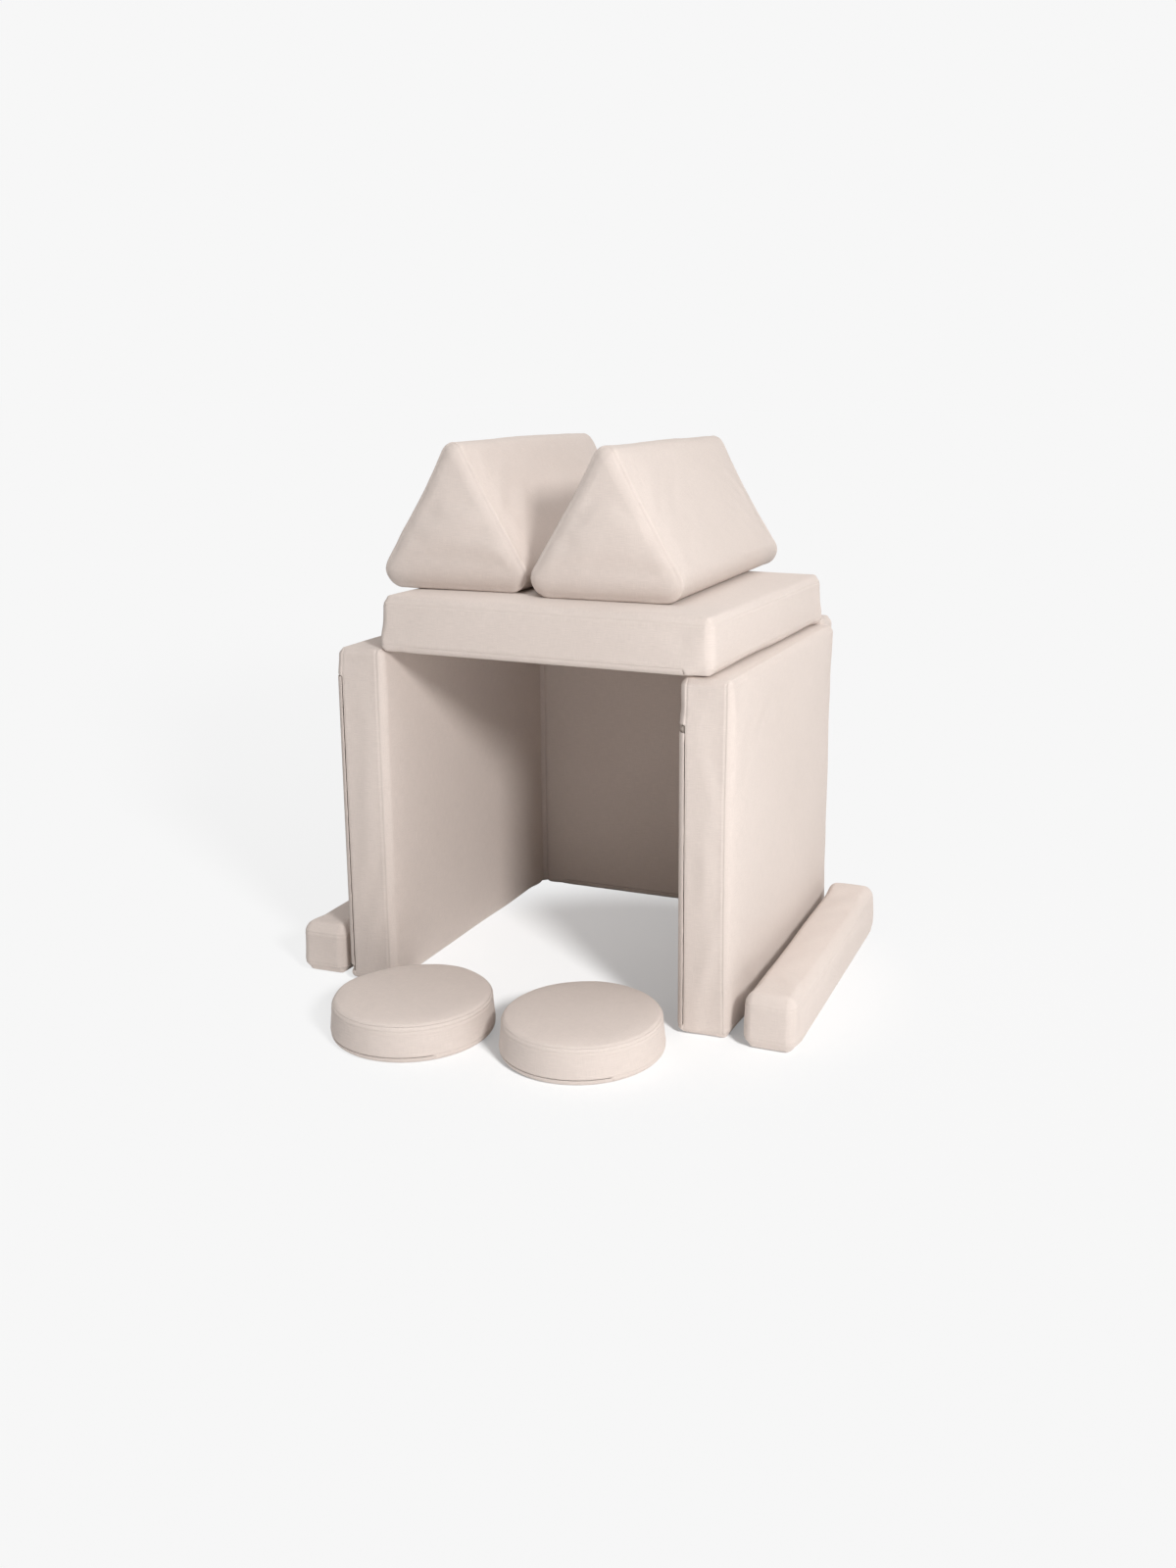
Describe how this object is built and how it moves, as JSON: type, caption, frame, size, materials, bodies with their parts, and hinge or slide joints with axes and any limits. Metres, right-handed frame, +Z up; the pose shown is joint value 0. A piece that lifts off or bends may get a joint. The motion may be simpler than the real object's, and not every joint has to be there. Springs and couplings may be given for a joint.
{
  "type": "modular foam play sofa",
  "caption": "Modular foam play sofa stacked as a small playhouse: square mats as walls and roof, triangular prisms on top, square bars and round cushions on the floor.",
  "frame": {"origin": "on the floor, under the middle of the set's footprint", "axes": "+Z up; -Y towards the open front of the house, where the round cushions lie; +X to the right as seen from the front"},
  "size_m": [1.1078, 1.1248, 1.1082],
  "materials": {
    "cover_cloth": "warm beige linen-look upholstery cloth",
    "foam": "pale open-cell foam",
    "zip_tape": "woven zip tape with a nylon coil chain",
    "zip_slider_metal": "dull dark metal"
  },
  "bodies": {
    "right_wall": {"right_wall_cover": "cover_cloth", "right_wall_foam_core": "foam", "right_wall_zip": "zip_tape", "right_wall_zip_flap": "cover_cloth"},
    "left_wall": {"left_wall_cover": "cover_cloth", "left_wall_foam_core": "foam", "left_wall_zip": "zip_tape", "left_wall_zip_flap": "cover_cloth", "fold_hinge_left_leaf": "cover_cloth"},
    "back_wall": {"back_wall_cover": "cover_cloth", "back_wall_foam_core": "foam", "back_wall_zip": "zip_tape", "back_wall_zip_flap": "cover_cloth", "fold_hinge_back_leaf": "cover_cloth"},
    "roof": {"roof_cover": "cover_cloth", "roof_foam_core": "foam", "roof_zip": "zip_tape", "roof_zip_flap": "cover_cloth"},
    "left_prism": {"left_prism_cover": "cover_cloth", "left_prism_foam_core": "foam", "left_prism_zip": "zip_tape", "left_prism_zip_flap": "cover_cloth"},
    "right_prism": {"right_prism_cover": "cover_cloth", "right_prism_foam_core": "foam", "right_prism_zip": "zip_tape", "right_prism_zip_flap": "cover_cloth"},
    "left_bar": {"left_bar_cover": "cover_cloth", "left_bar_foam_core": "foam", "left_bar_zip": "zip_tape", "left_bar_zip_flap": "cover_cloth"},
    "right_bar": {"right_bar_cover": "cover_cloth", "right_bar_foam_core": "foam", "right_bar_zip": "zip_tape", "right_bar_zip_flap": "cover_cloth"},
    "left_disc": {"left_disc_cover": "cover_cloth", "left_disc_foam_core": "foam", "left_disc_zip": "zip_tape", "left_disc_zip_flap": "cover_cloth"},
    "right_disc": {"right_disc_cover": "cover_cloth", "right_disc_foam_core": "foam", "right_disc_zip": "zip_tape", "right_disc_zip_flap": "cover_cloth"},
    "right_wall_zip_slider": {"right_wall_zip_slider": "zip_slider_metal"},
    "left_wall_zip_slider": {"left_wall_zip_slider": "zip_slider_metal"},
    "back_wall_zip_slider": {"back_wall_zip_slider": "zip_slider_metal"},
    "roof_zip_slider": {"roof_zip_slider": "zip_slider_metal"},
    "left_prism_zip_slider": {"left_prism_zip_slider": "zip_slider_metal"},
    "right_prism_zip_slider": {"right_prism_zip_slider": "zip_slider_metal"},
    "left_bar_zip_slider": {"left_bar_zip_slider": "zip_slider_metal"},
    "right_bar_zip_slider": {"right_bar_zip_slider": "zip_slider_metal"},
    "left_disc_zip_slider": {"left_disc_zip_slider": "zip_slider_metal"},
    "right_disc_zip_slider": {"right_disc_zip_slider": "zip_slider_metal"}
  },
  "joints": [
    {"name": "mat_pull_out", "type": "slide", "parent": "right_wall", "child": "left_wall", "axis": [0, 1, 0], "range_m": [0, 0.8]},
    {"name": "fold_hinge", "type": "hinge", "parent": "left_wall", "child": "back_wall", "pos_m": [-0.31005, 0.45292, 0], "axis": [0, 0, 1], "range_deg": [0, 90]},
    {"name": "roof_lift", "type": "slide", "parent": "right_wall", "child": "roof", "axis": [0, 0, 1], "range_m": [0, 0.4]},
    {"name": "left_prism_lift", "type": "slide", "parent": "roof", "child": "left_prism", "axis": [0, 0, 1], "range_m": [0, 0.3]},
    {"name": "right_prism_lift", "type": "slide", "parent": "roof", "child": "right_prism", "axis": [0, 0, 1], "range_m": [0, 0.3]},
    {"name": "left_bar_lift", "type": "slide", "parent": "right_wall", "child": "left_bar", "axis": [0, 0, 1], "range_m": [0, 0.3]},
    {"name": "right_bar_lift", "type": "slide", "parent": "right_wall", "child": "right_bar", "axis": [0, 0, 1], "range_m": [0, 0.3]},
    {"name": "left_disc_lift", "type": "slide", "parent": "right_wall", "child": "left_disc", "axis": [0, 0, 1], "range_m": [0, 0.3]},
    {"name": "right_disc_lift", "type": "slide", "parent": "right_wall", "child": "right_disc", "axis": [0, 0, 1], "range_m": [0, 0.3]},
    {"name": "right_wall_zip_run", "type": "slide", "parent": "right_wall", "child": "right_wall_zip_slider", "axis": [0, 0, -1], "range_m": [0, 0.571]},
    {"name": "left_wall_zip_run", "type": "slide", "parent": "left_wall", "child": "left_wall_zip_slider", "axis": [0, 0, 1], "range_m": [0, 0.6075]},
    {"name": "back_wall_zip_run", "type": "slide", "parent": "back_wall", "child": "back_wall_zip_slider", "axis": [-1, 0, 0], "range_m": [0, 0.562]},
    {"name": "roof_zip_run", "type": "slide", "parent": "roof", "child": "roof_zip_slider", "axis": [-0.9999, 0.0152, 0], "range_m": [0, 0.562]},
    {"name": "left_prism_zip_run", "type": "slide", "parent": "left_prism", "child": "left_prism_zip_slider", "axis": [0.0401, -0.9992, 0], "range_m": [0, 0.562]},
    {"name": "right_prism_zip_run", "type": "slide", "parent": "right_prism", "child": "right_prism_zip_slider", "axis": [0.0401, -0.9992, 0], "range_m": [0, 0.562]},
    {"name": "left_bar_zip_run", "type": "slide", "parent": "left_bar", "child": "left_bar_zip_slider", "axis": [0.0209, -0.9998, 0], "range_m": [0, 0.562]},
    {"name": "right_bar_zip_run", "type": "slide", "parent": "right_bar", "child": "right_bar_zip_slider", "axis": [0.0209, -0.9998, 0], "range_m": [0, 0.562]},
    {"name": "left_disc_zip_run", "type": "hinge", "parent": "left_disc", "child": "left_disc_zip_slider", "pos_m": [-0.17009, -0.40641, 0], "axis": [0, 0, 1], "range_deg": [0, 128.3]},
    {"name": "right_disc_zip_run", "type": "hinge", "parent": "right_disc", "child": "right_disc_zip_slider", "pos_m": [0.1697, -0.37033, 0], "axis": [0, 0, 1], "range_deg": [0, 128.3]}
  ]
}
